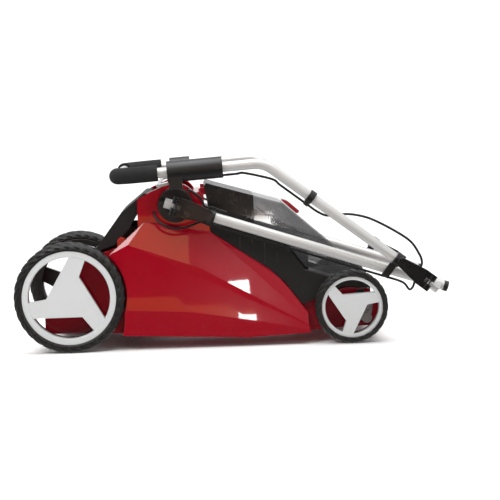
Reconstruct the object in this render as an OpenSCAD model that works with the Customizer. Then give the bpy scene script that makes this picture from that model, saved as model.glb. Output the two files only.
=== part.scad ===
// Battery lawn mower with a folding handle, stored with the handle folded forward.
// +X points forward, +Y to the mower's left, +Z up. The origin is on the ground,
// below the middle of the folded machine.

/* [Wheels] */
// Distance between the rear and the front wheel centres
wheelbase = 610; // [560:5:740]
// Width over the outer faces of the wheels
track_w = 382; // [376:2:460]
// Diameter of a rear wheel
rear_wheel_d = 240; // [200:5:290]
// Diameter of a front wheel
front_wheel_d = 160; // [135:5:195]
// Width of a rear tyre
rear_tyre_w = 44; // [36:1:54]
// Width of a front tyre
front_tyre_w = 40; // [33:1:48]
// Diameter of the stub axles
stub_d = 16; // [12:0.5:20]

/* [Cutting height] */
// Diameter of the crank axle bars
crank_bar_d = 12; // [10:0.5:15]
// Swing radius of the wheels about the crank bars
crank_r = 46.9; // [40:0.1:56]
// Length of the arms that carry the link rod
link_arm = 38; // [32:1:42]

/* [Deck] */
// Half width of the deck skirt between the wheels
skirt_half = 178; // [160:1:214]
// Wall of the deck moulding
deck_wall = 3; // [2.5:0.1:3.6]
// Height of the blade housing roof
roof_z = 72; // [68:1:84]
// Length of the blade, tip to tip
blade_len = 330; // [275:5:340]
// Outer diameter of the motor can
motor_d = 120; // [100:2:144]

/* [Handle] */
// Outer diameter of the handle tubes
tube_d = 22; // [19:0.5:26]
// Wall of the handle tubes
tube_wall = 1.2; // [1:0.1:1.5]
// Distance of the fold pivot in front of the rear axle
pivot_x = 235; // [225:1:245]
// Height of the fold pivot above the ground
pivot_z = 312; // [295:1:375]
// Length of a lower tube from the fold pivot to the middle hinge
lower_len = 564; // [470:1:680]
// Length of the upper tube from the middle hinge to its bend
upper_len = 434; // [380:1:520]
// Length of the upper tube from its bend to the crossbar
grip_len = 314; // [280:1:330]
// Slope of the folded lower tubes
lower_slope = 18.4; // [17:0.1:20]
// Slope of the folded upper tube
upper_slope = 37.5; // [36:0.1:40]
// Outer diameter of the hand grips
grip_d = 35; // [29:1:42]

/* [Lid and batteries] */
// Half width of the battery lid
lid_half = 115; // [108:1:116]
// Length of a battery pack
pack_l = 118; // [98:1:124]
// Width of a battery pack
pack_w = 76; // [64:1:80]
// Thickness of a battery pack
pack_t = 62; // [52:1:66]

/* [Hidden] */

// Clearances: moulded gap, running fit, moving gap
gap = 0.3;
fit = 0.06;
swing_gap = 3;
facets = 32;
fine = 96;

red = [0.64, 0.0, 0.11];
black = [0.14, 0.13, 0.13];
silver = [0.84, 0.84, 0.85];
hub_grey = [0.80, 0.80, 0.80];
tyre_grey = [0.23, 0.23, 0.23];
steel = [0.55, 0.55, 0.57];

// Places along the machine
rear_r = rear_wheel_d / 2;
front_r = front_wheel_d / 2;
tube_r = tube_d / 2;
lower_tail = 39;
cap_t = 10;
cap_r = tube_r + 0.5;
tip_reach = lower_len + lower_tail + cap_t;
front_reach = pivot_x + tip_reach * cos(lower_slope) + cap_r * sin(lower_slope);
rear_x = -(front_reach - rear_r) / 2;

// The deck outlines are drawn for this wheelbase, pivot height and width,
// and stretch with the machine
drawn_base = 610;
drawn_pivot_z = 312;
function along(x) = x * wheelbase / drawn_base;
function up(z) = z * pivot_z / drawn_pivot_z;
function outline(points) = [for (p = points) [along(p[0]), up(p[1])]];

// Widths, from the wheels inwards
wheel_half = track_w / 2;
rear_inner = wheel_half - rear_tyre_w;
front_inner = wheel_half - front_tyre_w;
arm_t = 6;
rear_half = rear_inner - arm_t - 7;
front_half = front_inner - arm_t - 7;
crease_low_half = skirt_half - 8;
crease_high_half = skirt_half - 22;
tower_half = skirt_half - 28;
tower_in = tower_half - 22;
cover_in = tower_half - 30;

// Handle planes
base_t = 21.4;
saddle_t = 20;
base_r = 38;
saddle_r = 36;
base_y = tower_half + gap;
saddle_y = base_y + base_t + gap;
lower_y = saddle_y + saddle_t + 4;
upper_y = lower_y + tube_d + 2;
bolt_r = 4;

// Directions in the folded handle
lower_dir = [cos(lower_slope), 0, -sin(lower_slope)];
hinge_x = pivot_x + lower_len * cos(lower_slope);
hinge_z = pivot_z - lower_len * sin(lower_slope);
bend_x = hinge_x - upper_len * cos(upper_slope);
bend_z = hinge_z + upper_len * sin(upper_slope);
grip_slope = 3.6;
corner_r = 45;
bend_r = 60;
bend_turn = upper_slope + grip_slope;
bend_cut = round(1000 * bend_r * tan(bend_turn / 2)) / 1000;
crossbar_x = bend_x - grip_len * cos(grip_slope);
crossbar_z = bend_z - grip_len * sin(grip_slope);

// Crank axles: the wheel centre lies behind and above its crank bar
crank_angle = 140.2;
rear_crank_x = -crank_r * cos(crank_angle);
rear_crank_z = rear_r - crank_r * sin(crank_angle);
front_crank_x = wheelbase - crank_r * cos(crank_angle);
front_crank_z = front_r - crank_r * sin(crank_angle);
crank_bar_r = crank_bar_d / 2;
link_angle = 75;
link_y = 107;
link_t = 6;
bush_r = crank_bar_r + 2.7;

// Blade drive
blade_x = along(330);
blade_z = roof_z - 28;
blade_t = 3.5;
shaft_r = 8;
roof_t = 4;
motor_z = roof_z + roof_t + gap;
motor_r = motor_d / 2;
motor_h = 72;
motor_wall = 3;

// ---------- helpers ----------
module place() { translate([rear_x, 0, 0]) children(); }
module both_sides() {
    children();
    mirror([0, 1, 0]) children();
}
// An XZ outline given thickness along Y
module slab(y0, y1) {
    translate([0, y1, 0]) rotate([90, 0, 0]) linear_extrude(height = y1 - y0) children();
}
// A rod along Y
module rod_y(r, y0, y1, x = 0, z = 0) {
    translate([x, y0, z]) rotate([-90, 0, 0]) cylinder(h = y1 - y0, r = r, $fn = fine);
}
// A frame at a point, with its X axis turned down by a slope
module at(x, z, slope = 0, y = 0) { translate([x, y, z]) rotate([0, slope, 0]) children(); }
// A hollow straight tube along +X from the frame's origin
module pipe(len) {
    rotate([0, 90, 0]) difference() {
        cylinder(h = len, r = tube_r, $fn = fine);
        translate([0, 0, -1]) cylinder(h = len + 2, r = tube_r - tube_wall, $fn = fine);
    }
}
// A hollow bend in the XY plane: starts at the origin along +X and turns left
module pipe_bend(radius, turn, outer = tube_r, inner = tube_r - tube_wall) {
    translate([0, radius, 0]) rotate([0, 0, -90]) rotate_extrude(angle = turn, $fn = fine)
        translate([radius, 0]) difference() {
            circle(r = outer, $fn = fine);
            circle(r = inner, $fn = fine);
        }
}

// ---------- deck ----------
skirt_line = outline([[84, 34], [84, 90], [262, 80], [392, 58], [470, 42], [546, 27], [385, 20]]);
crease_low = outline([[130, 229], [284, 174], [391, 118], [450, 84], [538, 42], [86, 40], [88, 208]]);
crease_high = outline([[166, 276], [151, 258], [150, 60], [504, 83], [457, 144], [393, 182], [271, 240]]);
deck_top = outline([[172, 277], [308, 251], [393, 191], [436, 164], [468, 134], [491, 103], [503, 84],
    [400, 60], [180, 60]]);
rear_box = outline([[-58, 37], [-58, 100], [-10, 108], [22, 186], [60, 207], [152, 236], [152, 34]]);
front_box = outline([[492, 27], [492, 90], [541, 97], [600, 118], [652, 114], [680, 64], [674, 33]]);
tower_line = [[152, 190], [152, 325], [181, 341], [215, 355], [258, 352], [306, 272], [309, 251], [330, 232],
    [330, 190]];
hood_line = [[212, 262], [212, 322], [286, 337], [297, 330], [298, 258]];

module deck_layer(points, half, inset) {
    slab(-half + inset, half - inset) offset(delta = -inset) polygon(points);
}
module deck_core(inset) {
    hull() {
        deck_layer(skirt_line, skirt_half, inset);
        deck_layer(crease_low, crease_low_half, inset);
        deck_layer(crease_high, crease_high_half, inset);
        deck_layer(deck_top, tower_half, inset);
    }
}
module deck_boxes(inset) {
    deck_layer(rear_box, rear_half, inset);
    deck_layer(front_box, front_half, inset);
}
module tower_2d() {
    polygon([for (p = tower_line) [p[0] - 235 + pivot_x, up(p[1])]]);
    translate([pivot_x, pivot_z]) circle(r = 47, $fn = facets);
}
flap_hinge_x = 176;
flap_hinge_z = up(326);
lid_hinge_x = 306;
lid_hinge_z = up(345);
rod_r = 3;
boss_r = 8;
module towers() {
    both_sides() difference() {
        union() {
            difference() {
                slab(tower_in, tower_half) tower_2d();
                slab(tower_in - 1, tower_half - 4) offset(delta = -deck_wall) tower_2d();
            }
            rod_y(boss_r, tower_in, tower_half - 2, flap_hinge_x, flap_hinge_z);
            rod_y(14, tower_half - 14, tower_half - 2, pivot_x, pivot_z);
        }
        rod_y(rod_r + fit, tower_in - 1, tower_half - 4, flap_hinge_x, flap_hinge_z);
        rod_y(bolt_r + fit, tower_in, tower_half + 1, pivot_x, pivot_z);
    }
}
// Round wells that clear the wheels over the whole travel of the cutting height
arch_gap = 4;
module wheel_sweep(x, z, r, y0, y1) {
    both_sides() for (a = [0, 32, 65])
        rod_y(r, y0, y1, x + crank_r * cos(crank_angle + a), z + crank_r * sin(crank_angle + a));
}
module wheel_wells() {
    intersection() {
        union() {
            wheel_sweep(rear_crank_x, rear_crank_z, rear_r + arch_gap + deck_wall, rear_half - deck_wall, skirt_half);
            wheel_sweep(front_crank_x, front_crank_z, front_r + arch_gap + deck_wall, front_half - deck_wall,
                skirt_half);
        }
        deck_core(0);
    }
}
module corner_tabs() {
    both_sides() slab(tower_half + 4, tower_half + 8)
        polygon(outline([[105, 210], [107, 240], [114, 247], [124, 243], [125, 220]]));
}
module tower_ribs() {
    both_sides() for (rib = [[175, 245, 322], [211, 235, 268], [243, 236, 268], [271, 236, 276]])
        translate([rib[0] - 1.2, tower_half - 1, up(rib[1])])
            cube([2.4, 1.25, up(rib[2]) - up(rib[1])]);
}
module hood() {
    line = [for (p = hood_line) [p[0], up(p[1])]];
    difference() {
        slab(-tower_in - 1, tower_in + 1) polygon(line);
        slab(-tower_in + 1, tower_in - 1) offset(delta = -deck_wall) polygon(line);
        translate([212 + deck_wall, -tower_in + 1, up(250)])
            cube([86 - 2 * deck_wall, 2 * tower_in - 2, 20]);
    }
    both_sides() difference() {
        union() {
            rod_y(7, lid_half - 27, lid_half - 21, lid_hinge_x, lid_hinge_z);
            translate([290, lid_half - 27, lid_hinge_z - 16]) cube([14, 6, 16]);
        }
        rod_y(rod_r + fit, lid_half - 28, lid_half - 20, lid_hinge_x, lid_hinge_z);
    }
}
chute_half = 98;
chute_cut = outline([[70, 10], [168, 10], [168, 84], [186, 240], [186, 300], [60, 300], [26, 215], [26, 180]]);
module deck_shell() {
    color(red) place() difference() {
        union() {
            difference() {
                union() {
                    deck_core(0);
                    deck_boxes(0);
                }
                deck_core(deck_wall);
                deck_boxes(deck_wall);
                // open underside
                translate([0, 0, -9]) deck_core(deck_wall);
                slab(-rear_half + deck_wall, rear_half - deck_wall)
                    polygon(outline([[-55, 20], [-55, 60], [138, 60], [138, 20]]));
                slab(-front_half + deck_wall, front_half - deck_wall)
                    polygon(outline([[509, 15], [509, 60], [672, 60], [670, 15]]));
            }
            intersection() {
                translate([along(148), -skirt_half + 8, roof_z])
                    cube([along(352), 2 * skirt_half - 16, roof_t]);
                deck_core(1);
            }
            wheel_wells();
            corner_tabs();
            towers();
            tower_ribs();
            hood();
        }
        slab(-chute_half, chute_half) polygon(chute_cut);
        wheel_sweep(rear_crank_x, rear_crank_z, rear_r + arch_gap, rear_half, skirt_half + 1);
        wheel_sweep(front_crank_x, front_crank_z, front_r + arch_gap, front_half, skirt_half + 1);
        // slot for the height lever
        slab(rear_half, rear_inner - 1) polygon(outline([[40, 180], [60, 260], [140, 260], [140, 180]]));
        // motor seat
        translate([blade_x, 0, roof_z - 1]) cylinder(h = roof_t + 2, r = 24, $fn = fine);
        for (a = [45:90:315]) translate([blade_x, 0, roof_z - 1]) rotate([0, 0, a])
            translate([motor_r + 7, 0, 0]) cylinder(h = roof_t + 2, r = 2.6, $fn = facets);
        // crank bar bushes
        rod_y(bush_r + gap, -rear_half - 1, rear_half + 1, rear_crank_x, rear_crank_z);
        rod_y(bush_r + gap, -front_half - 1, front_half + 1, front_crank_x, front_crank_z);
        // slots for the link rod
        translate([along(122), link_y - 10, rear_crank_z + 4]) cube([along(34), 8, 38]);
        translate([along(470), link_y - 10, rear_crank_z - 18]) cube([along(92), 8, 34]);
        // cable holes
        rod_y(cable_r + 0.7, -tower_half - 1, -tower_half + 6, 188, up(296));
        rod_y(cable_r + 0.7, -tower_half - 1, -tower_half + 6, pivot_x + 29.5, pivot_z + 30.5);
    }
}
module chute_frame() {
    inner = outline([[76, 60], [160, 60], [160, 84], [176, 236], [166, 262], [120, 262], [66, 200], [76, 120]]);
    color(black) place() difference() {
        slab(-chute_half + gap, chute_half - gap) offset(delta = deck_wall) polygon(inner);
        slab(-chute_half + deck_wall, chute_half - deck_wall) polygon(inner);
        translate([along(40), -chute_half + deck_wall, up(20)]) cube([along(123), 2 * (chute_half - deck_wall), up(60)]);
        slab(-chute_half + deck_wall, chute_half - deck_wall)
            polygon(outline([[170, 262], [60, 200], [40, 210], [100, 300], [176, 300]]));
    }
}

// ---------- covers ----------
cover_line = outline([[310, 268], [310, 252.5], [393, 193.5], [436, 165.5], [469, 135], [492, 104], [505, 86],
    [539, 97], [560, 118], [567, 143], [513, 160], [494, 186], [477, 206], [443, 239], [386, 253]]);
module side_cover() {
    color(black) place() {
        difference() {
            slab(cover_in, tower_half) polygon(cover_line);
            slab(cover_in - 1, tower_half - deck_wall) offset(delta = -deck_wall) polygon(cover_line);
            slab(0, front_half + gap) polygon(outline([[480, 40], [480, 89], [492, 90.5], [541, 97.6], [600, 119],
                [600, 40]]));
        }
        for (x = [345, 372, 399, 426, 453]) intersection() {
            slab(tower_half - 1, tower_half + 1.2) offset(delta = -6) polygon(cover_line);
            translate([along(x) - 1.2, 0, 0]) cube([2.4, tower_half + 2, up(300)]);
        }
    }
}
module side_cover_left() { side_cover(); }
module side_cover_right() { mirror([0, 1, 0]) side_cover(); }

front_line = outline([[508, 101], [508, 142], [569, 141], [632, 140], [655, 118], [648, 114.5], [600, 120.5],
    [541, 99.5]]);
module front_cover() {
    color(black) place() difference() {
        union() {
            slab(-cover_in + gap, cover_in - gap) polygon(front_line);
            slab(-front_half, front_half) polygon(outline([[569, 118], [569, 141], [632, 140], [655, 118],
                [648, 114.5], [600, 120.5], [590, 117]]));
        }
        slab(-cover_in + deck_wall, cover_in - deck_wall)
            polygon(outline([[511, 80], [511, 139], [569, 138], [631, 137], [651, 117], [640, 100]]));
        translate([along(500), link_y - 10, up(80)]) cube([along(64), 8, up(27)]);
    }
}
module height_scale() {
    color(black) place() slab(-front_half - 2.8, -front_half - gap)
        polygon(outline([[640, 76], [628, 84], [618, 96], [626, 112], [640, 114], [652, 92], [656, 78]]));
}

// ---------- motor and blade ----------
module at_blade(z) { translate([rear_x + blade_x, 0, z]) children(); }
module motor_housing() {
    color(black) at_blade(motor_z) difference() {
        union() {
            cylinder(h = motor_h, r = motor_r, $fn = fine);
            cylinder(h = 4, r = motor_r + 13, $fn = fine);
            cylinder(h = motor_h + 8, r = 20, $fn = fine);
        }
        translate([0, 0, 4]) cylinder(h = motor_h - 8, r = motor_r - motor_wall, $fn = fine);
        translate([0, 0, -1]) cylinder(h = motor_h + 12, r = shaft_r + fit, $fn = fine);
        for (a = [45:90:315]) rotate([0, 0, a]) translate([motor_r + 7, 0, -1])
            cylinder(h = 6, r = 2.6, $fn = facets);
    }
}
module motor_stator() {
    color([0.72, 0.45, 0.2]) at_blade(motor_z + 8) difference() {
        cylinder(h = motor_h - 16, r = motor_r - motor_wall - gap, $fn = fine);
        translate([0, 0, -1]) cylinder(h = motor_h, r = motor_r - 24, $fn = fine);
    }
}
module housing_screws() {
    color(steel) at_blade(0) for (a = [45:90:315]) rotate([0, 0, a]) translate([motor_r + 7, 0, 0]) {
        translate([0, 0, roof_z - 6]) cylinder(h = motor_z + 4 + gap - roof_z + 6, r = 2.5, $fn = facets);
        translate([0, 0, motor_z + 4 + gap]) cylinder(h = 4, r = 4.6, $fn = facets);
    }
}
module rotor_shaft() {
    color(steel) at_blade(0) difference() {
        union() {
            translate([0, 0, blade_z + 4]) cylinder(h = motor_z + motor_h + 6 - blade_z - 4, r = shaft_r, $fn = fine);
            translate([0, 0, motor_z + 10]) cylinder(h = motor_h - 20, r = motor_r - 25, $fn = fine);
        }
        translate([0, 0, blade_z]) cylinder(h = 26, r = 4.1, $fn = facets);
    }
}
module blade_carrier() {
    color(black) at_blade(blade_z + blade_t + gap) difference() {
        union() {
            cylinder(h = 8, r = 30, $fn = fine);
            cylinder(h = 22, r = 19, $fn = fine);
            for (a = [0:45:315]) rotate([0, 0, a]) translate([18, -1.5, 0]) cube([20, 3, 14]);
        }
        translate([0, 0, -1]) cylinder(h = 24, r = shaft_r + 0.05, $fn = fine);
    }
}
module blade() {
    wing = 70;
    half = blade_len / 2;
    color(steel) at_blade(blade_z) difference() {
        union() {
            translate([-half, -22, 0]) cube([blade_len, 44, blade_t]);
            for (a = [0, 180]) rotate([0, 0, a]) translate([half - wing, 14, blade_t - 1])
                rotate([38, 0, 0]) cube([wing, 14, 3]);
        }
        translate([0, 0, -1]) cylinder(h = blade_t + 2, r = 8.1, $fn = fine);
        for (a = [0, 180]) rotate([0, 0, a]) translate([half, -30, -1]) rotate([0, 0, 20])
            cube([40, 60, blade_t + 20]);
    }
}
module blade_bolt() {
    color(steel) at_blade(blade_z) {
        translate([0, 0, -gap - 3]) cylinder(h = 3, r = 16, $fn = fine);
        translate([0, 0, -gap - 3]) cylinder(h = 3 + gap + 20, r = 4, $fn = facets);
        translate([0, 0, -gap - 11]) cylinder(h = 8, r = 9, $fn = 6);
    }
}

// ---------- battery bay ----------
pack_slope = 30;
pack_x = along(440);
pack_z = up(238);
bay_half = 96;
pack_y = 8 + pack_w / 2;
bay_line = outline([[352, 227], [352, 284], [366, 296], [380, 300], [455, 246], [524, 206], [524, 152], [509, 144], [469, 135],
    [436, 165.6], [393, 194.2]]);
module pack_body(grow = 0) {
    at(pack_x, pack_z, pack_slope)
        translate([-pack_l / 2 - grow, -pack_w / 2 - grow, -pack_t / 2 - grow])
            cube([pack_l + 2 * grow, pack_w + 2 * grow, pack_t + 2 * grow]);
}
key_w = 22;
key_t = 7;
key_x = along(428);
key_z = up(250);
module battery_bay() {
    color(black) place() difference() {
        slab(-bay_half, bay_half) polygon(bay_line);
        for (s = [-1, 1]) hull() for (lift = [0, 90]) at(pack_x, pack_z, pack_slope)
            translate([-pack_l / 2 - gap - lift, s * pack_y - pack_w / 2 - gap, -pack_t / 2 - gap])
                cube([pack_l + 2 * gap, pack_w + 2 * gap, pack_t + 2 * gap + 60]);
        slab(-bay_half + 3, bay_half - 3) polygon(outline([[392, 180], [420, 196], [500, 150], [500, 120]]));
        translate([key_x - key_w / 2 - gap, -key_t / 2 - gap, key_z - 26])
            cube([key_w + 2 * gap, key_t + 2 * gap, 60]);
        translate([key_x - 10.5, -6.5, key_z + 6.5]) cube([21, 13, 60]);
    }
}
module battery(side) {
    color(black) place() translate([0, side * pack_y, 0]) difference() {
        union() {
            pack_body();
            at(pack_x, pack_z, pack_slope) translate([-pack_l / 2 + 14, -14, pack_t / 2 - 1]) cube([34, 28, 4]);
        }
        at(pack_x, pack_z, pack_slope) for (s = [-1, 1]) translate([-pack_l / 2 + 20, s * pack_w / 2 - 2, -8])
            cube([pack_l - 40, 4, 16]);
    }
}
module battery_right() { battery(-1); }
module battery_left() { battery(1); }
module safety_key() {
    color([0.85, 0.65, 0.05]) place() {
        translate([key_x - key_w / 2, -key_t / 2, key_z - 25]) cube([key_w, key_t, 32]);
        translate([key_x - 10, -6, key_z + 7]) cube([20, 12, 14]);
    }
}

// ---------- lid ----------
lid_line = outline([[303, 355], [298, 349], [311, 272], [386, 256], [443, 243], [480, 210], [498, 189], [516, 164],
    [568, 147], [630, 146], [584, 206], [472, 305]]);
lid_split = along(406);
module lid_skin() {
    difference() {
        slab(-lid_half, lid_half) polygon(lid_line);
        slab(-lid_half + 3, lid_half - 3) {
            offset(delta = -3) polygon(lid_line);
            translate([0, -6]) offset(delta = -3) polygon(lid_line);
        }
        slab(-lid_half + 3, lid_half - 3)
            polygon(outline([[302, 262], [316, 278], [386, 260], [446, 246], [518, 168], [620, 150], [600, 130],
                [500, 130], [440, 200], [320, 240]]));
        // room for the hood's hinge ears
        both_sides() translate([280, lid_half - 28, up(250)]) cube([38, 8, up(120)]);
        rod_y(rod_r + fit, -lid_half + 2, lid_half - 2, lid_hinge_x, lid_hinge_z);
    }
}
module lid_shell() {
    color([0.45, 0.45, 0.48, 0.45]) place() intersection() {
        lid_skin();
        translate([lid_split + gap / 2, -200, 0]) cube([400, 400, 500]);
    }
}
module lid_panel() {
    color(black) place() {
        intersection() {
            lid_skin();
            translate([0, -200, 0]) cube([lid_split - gap / 2, 400, 500]);
        }
        both_sides() difference() {
            union() {
                rod_y(6, lid_half - 20, lid_half - 1, lid_hinge_x, lid_hinge_z);
                rod_y(6, lid_half - 44, lid_half - 28 - gap, lid_hinge_x, lid_hinge_z);
            }
            rod_y(rod_r + fit, lid_half - 46, lid_half - 3, lid_hinge_x, lid_hinge_z);
        }
    }
}
module lid_grip() {
    color(red) place() slab(-34, 34)
        polygon(outline([[473, 305.6], [474, 309], [486, 305], [511, 283], [509, 277], [504, 277.5]]));
}
module lid_hinge_rod() {
    color(steel) place() rod_y(rod_r, -lid_half + 3.5, lid_half - 3.5, lid_hinge_x, lid_hinge_z);
}

// ---------- rear flap ----------
flap_half = 122;
flap_outer = outline([[180, 337], [166, 337], [116, 297], [50, 209], [24, 194], [26, 189], [54, 205], [120, 293],
    [168, 332], [180, 331]]);
flap_side = outline([[170, 334], [116, 296], [50, 208], [30, 196], [56, 212], [99, 226], [128, 256], [150, 290]]);
module rear_flap() {
    color(black) place() difference() {
        union() {
            slab(-flap_half, flap_half) polygon(flap_outer);
            both_sides() slab(flap_half - 4, flap_half) polygon(flap_side);
            both_sides() rod_y(11, flap_half - 12, flap_half, flap_hinge_x, flap_hinge_z);
            rod_y(9, -60, -20, flap_hinge_x, flap_hinge_z);
            rod_y(9, 20, 60, flap_hinge_x, flap_hinge_z);
        }
        rod_y(rod_r + fit, -flap_half - 1, flap_half + 1, flap_hinge_x, flap_hinge_z);
        rod_y(10.2, -19.5, 19.5, flap_hinge_x, flap_hinge_z);
    }
}
module flap_rod() {
    color(steel) place() rod_y(rod_r, -tower_half + 8, tower_half - 8, flap_hinge_x, flap_hinge_z);
}
module flap_spring() {
    color(steel) place() translate([flap_hinge_x, 0, flap_hinge_z]) for (i = [-4:4])
        translate([0, i * 3.2, 0]) rotate([90, 0, 0]) rotate_extrude($fn = fine)
            translate([5.2, 0]) circle(r = 1.4, $fn = 16);
}

// ---------- axles ----------
// Crank axle: bar across the machine, an arm and a stub axle for each wheel
module crank_axle(x, z, inner, outer) {
    bar_end = inner - 1;
    rod_y(crank_bar_r, -bar_end, bar_end, x, z);
    both_sides() {
        slab(inner - 1 - arm_t, inner - 1) hull() {
            translate([x, z]) circle(r = 11, $fn = facets);
            translate([x + crank_r * cos(crank_angle), z + crank_r * sin(crank_angle)]) circle(r = 12, $fn = facets);
        }
        translate([x + crank_r * cos(crank_angle), 0, z + crank_r * sin(crank_angle)]) {
            rod_y(stub_d / 2, inner - 1.5, outer - 8);
            rod_y(stub_d / 2 + 5, outer - 10.9, outer - 7);
        }
    }
    slab(link_y - link_t / 2, link_y + link_t / 2) difference() {
        hull() {
            translate([x, z]) circle(r = 10, $fn = facets);
            translate([x + link_arm * cos(link_angle), z + link_arm * sin(link_angle)]) circle(r = 5.5, $fn = facets);
        }
    }
    rod_y(3, link_y - 7.5, link_y, x + link_arm * cos(link_angle), z + link_arm * sin(link_angle));
}
module rear_axle() { color(steel) place() crank_axle(rear_crank_x, rear_crank_z, rear_inner, wheel_half); }
module front_axle() {
    color(steel) place() {
        crank_axle(front_crank_x, front_crank_z, front_inner, wheel_half);
        slab(-front_inner + 1.5, -front_inner + 4.5) hull() {
            translate([front_crank_x, front_crank_z]) circle(r = 8, $fn = facets);
            translate([front_crank_x + 14, front_crank_z + 54]) circle(r = 2.5, $fn = facets);
        }
    }
}
module link_rod() {
    dx = link_arm * cos(link_angle);
    dz = link_arm * sin(link_angle);
    run = [front_crank_x - rear_crank_x, front_crank_z - rear_crank_z];
    len = norm(run);
    color(steel) place() at(rear_crank_x + dx, rear_crank_z + dz, -atan2(run[1], run[0]), link_y - link_t / 2 - 3.8)
        difference() {
            union() {
                translate([0, -1.5, -4]) cube([len, 3, 8]);
                rod_y(5.5, -1.5, 1.5);
                rod_y(6.5, -1.5, 1.5, len);
            }
            rod_y(3 + fit, -3, 3);
            rod_y(3 + 1.5, -3, 3, len);
        }
}
module axle_bushes() {
    color(black) place() both_sides() for (b = [[rear_crank_x, rear_crank_z, rear_half],
            [front_crank_x, front_crank_z, front_half]]) difference() {
        union() {
            rod_y(bush_r, b[2] - deck_wall - 4, b[2] + 0.5, b[0], b[1]);
            rod_y(bush_r + 4, b[2] - deck_wall - gap - 4, b[2] - deck_wall - gap, b[0], b[1]);
        }
        rod_y(crank_bar_r + fit, b[2] - 20, b[2] + 20, b[0], b[1]);
    }
}
lever_angle = 68;
lever_len = 165;
module height_lever() {
    color(steel) place() slab(rear_half + 2.5, rear_half + 5.5) difference() {
        hull() {
            translate([rear_crank_x, rear_crank_z]) circle(r = 11, $fn = facets);
            translate([rear_crank_x + lever_len * cos(lever_angle), rear_crank_z + lever_len * sin(lever_angle)])
                circle(r = 6, $fn = facets);
        }
        translate([rear_crank_x, rear_crank_z]) circle(r = crank_bar_r + 0.05, $fn = fine);
    }
}
module height_knob() {
    color(black) place() at(rear_crank_x + lever_len * cos(lever_angle), rear_crank_z + lever_len * sin(lever_angle),
        -lever_angle) difference() {
        translate([-38, rear_half + 0.6, -9]) cube([50, 9.4, 18]);
        translate([-60, rear_half + 2.35, -7.6]) cube([67, 3.3, 15.2]);
    }
}

// ---------- wheels ----------
rim_share = 0.846;
window_share = 0.742;
module tyre(r, w) {
    rim_r = r * rim_share;
    rotate([-90, 0, 0]) rotate_extrude($fn = fine)
        polygon([[rim_r + gap / 3, 2], [rim_r + gap / 3, w - 2], [rim_r + 4, w], [r - 9, w], [r - 2, w - 5],
            [r, w * 0.72], [r, w * 0.28], [r - 2, 5], [r - 9, 0], [rim_r + 4, 0]]);
}
// Windows between the three spokes, each a rim segment with one long and one short straight side
module window_2d(r) {
    intersection() {
        circle(r = r * window_share - 1, $fn = fine);
        mirror([0, 1, 0]) polygon([[0.183 * r, 0.376 * r], [0.70 * r, -0.488 * r], [1.2 * r, -0.488 * r],
            [1.2 * r, 1.2 * r], [0.495 * r, 1.2 * r]]);
    }
}
module hub(r, w, turn) {
    rim_r = r * rim_share;
    rotate([-90, 0, 0]) difference() {
        union() {
            difference() {
                cylinder(h = w - 3, r = rim_r, $fn = fine);
                translate([0, 0, -1]) cylinder(h = w, r = r * window_share, $fn = fine);
            }
            translate([0, 0, w - 21]) cylinder(h = 17, r = r * window_share + 1, $fn = fine);
            cylinder(h = w - 10, r = stub_d / 2 + 6, $fn = fine);
        }
        for (a = [0:120:240]) rotate([0, 0, a + turn]) translate([0, 0, -1])
            linear_extrude(height = w + 2) window_2d(r);
        translate([0, 0, -1]) cylinder(h = w - 6, r = stub_d / 2 + fit, $fn = fine);
        translate([0, 0, w - 11.2]) cylinder(h = 5.2, r = stub_d / 2 + 6, $fn = fine);
    }
}
module wheel_at(x, r, w, side) {
    place() translate([x, 0, r]) {
        if (side > 0) translate([0, wheel_half - w, 0]) children();
        else mirror([0, 1, 0]) translate([0, wheel_half - w, 0]) children();
    }
}
module tyre_rear_right() { color(tyre_grey) wheel_at(0, rear_r, rear_tyre_w, -1) tyre(rear_r, rear_tyre_w); }
module tyre_rear_left() { color(tyre_grey) wheel_at(0, rear_r, rear_tyre_w, 1) tyre(rear_r, rear_tyre_w); }
module tyre_front_right() {
    color(tyre_grey) wheel_at(wheelbase, front_r, front_tyre_w, -1) tyre(front_r, front_tyre_w);
}
module tyre_front_left() {
    color(tyre_grey) wheel_at(wheelbase, front_r, front_tyre_w, 1) tyre(front_r, front_tyre_w);
}
front_turn = 58;
module hub_rear_right() { color(hub_grey) wheel_at(0, rear_r, rear_tyre_w, -1) hub(rear_r, rear_tyre_w, 1); }
module hub_rear_left() { color(hub_grey) wheel_at(0, rear_r, rear_tyre_w, 1) hub(rear_r, rear_tyre_w, 30); }
module hub_front_right() {
    color(hub_grey) wheel_at(wheelbase, front_r, front_tyre_w, -1) hub(front_r, front_tyre_w, front_turn);
}
module hub_front_left() {
    color(hub_grey) wheel_at(wheelbase, front_r, front_tyre_w, 1) hub(front_r, front_tyre_w, 10);
}

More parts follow.
